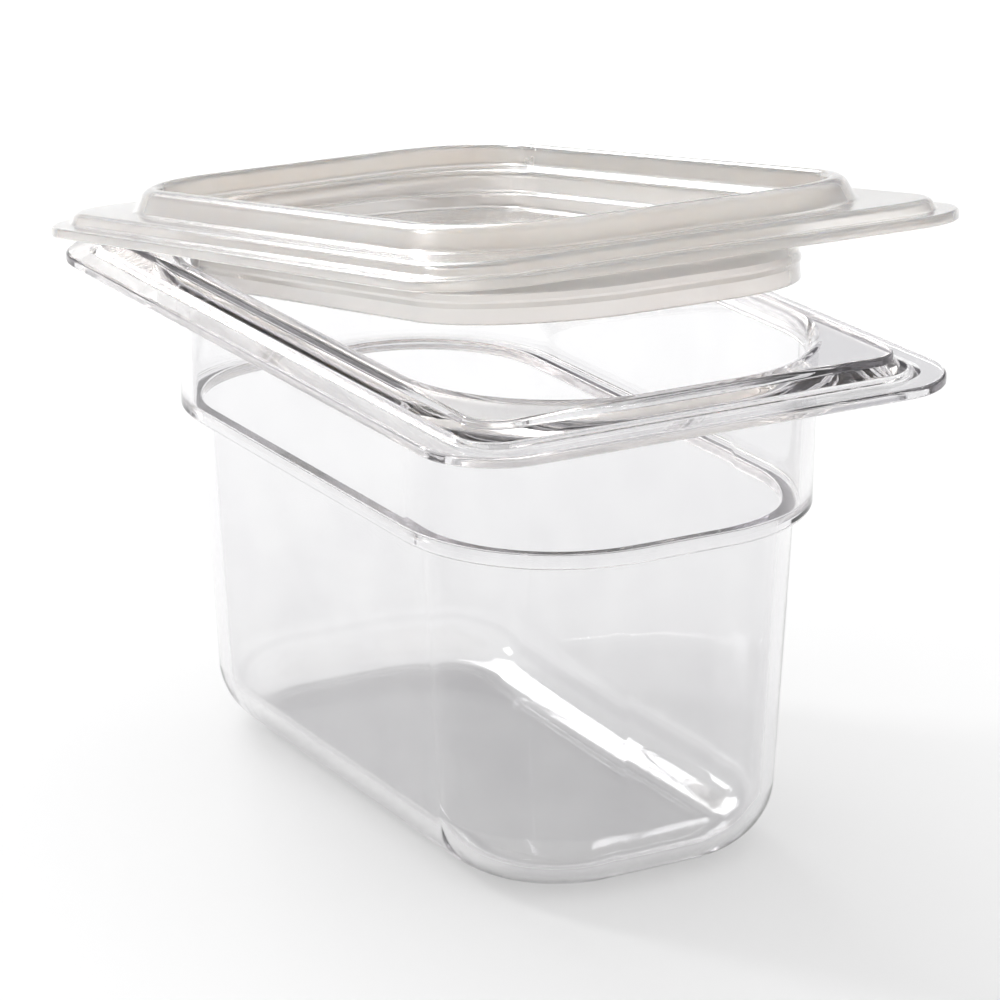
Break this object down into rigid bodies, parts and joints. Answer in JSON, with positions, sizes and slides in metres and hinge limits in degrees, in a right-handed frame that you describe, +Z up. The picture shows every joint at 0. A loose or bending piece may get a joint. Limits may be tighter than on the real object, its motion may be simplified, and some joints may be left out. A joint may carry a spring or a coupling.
{
  "type": "food pan",
  "caption": "Clear ninth-size food pan with a stacking shoulder and stepped rim, and a translucent seal cover that lifts from one end.",
  "frame": {"origin": "middle of the pan's underside, where it stands", "axes": "+Z up, +X along the pan towards the end where the cover is lifted, +Y across it"},
  "size_m": [0.1794, 0.1135, 0.133],
  "materials": {
    "clear_plastic": "water-clear moulded polycarbonate, polished, with slight grey edges",
    "milky_plastic": "translucent milky polypropylene, satin"
  },
  "bodies": {
    "pan": {"pan": "clear_plastic"},
    "seal_cover": {"seal_cover": "milky_plastic"}
  },
  "joints": [
    {"name": "cover_lift", "type": "hinge", "parent": "pan", "child": "seal_cover", "pos_m": [-0.0884, 0.054, 0.0973], "axis": [-0.0454, -0.999, 0], "range_deg": [-9.24, 70]}
  ]
}
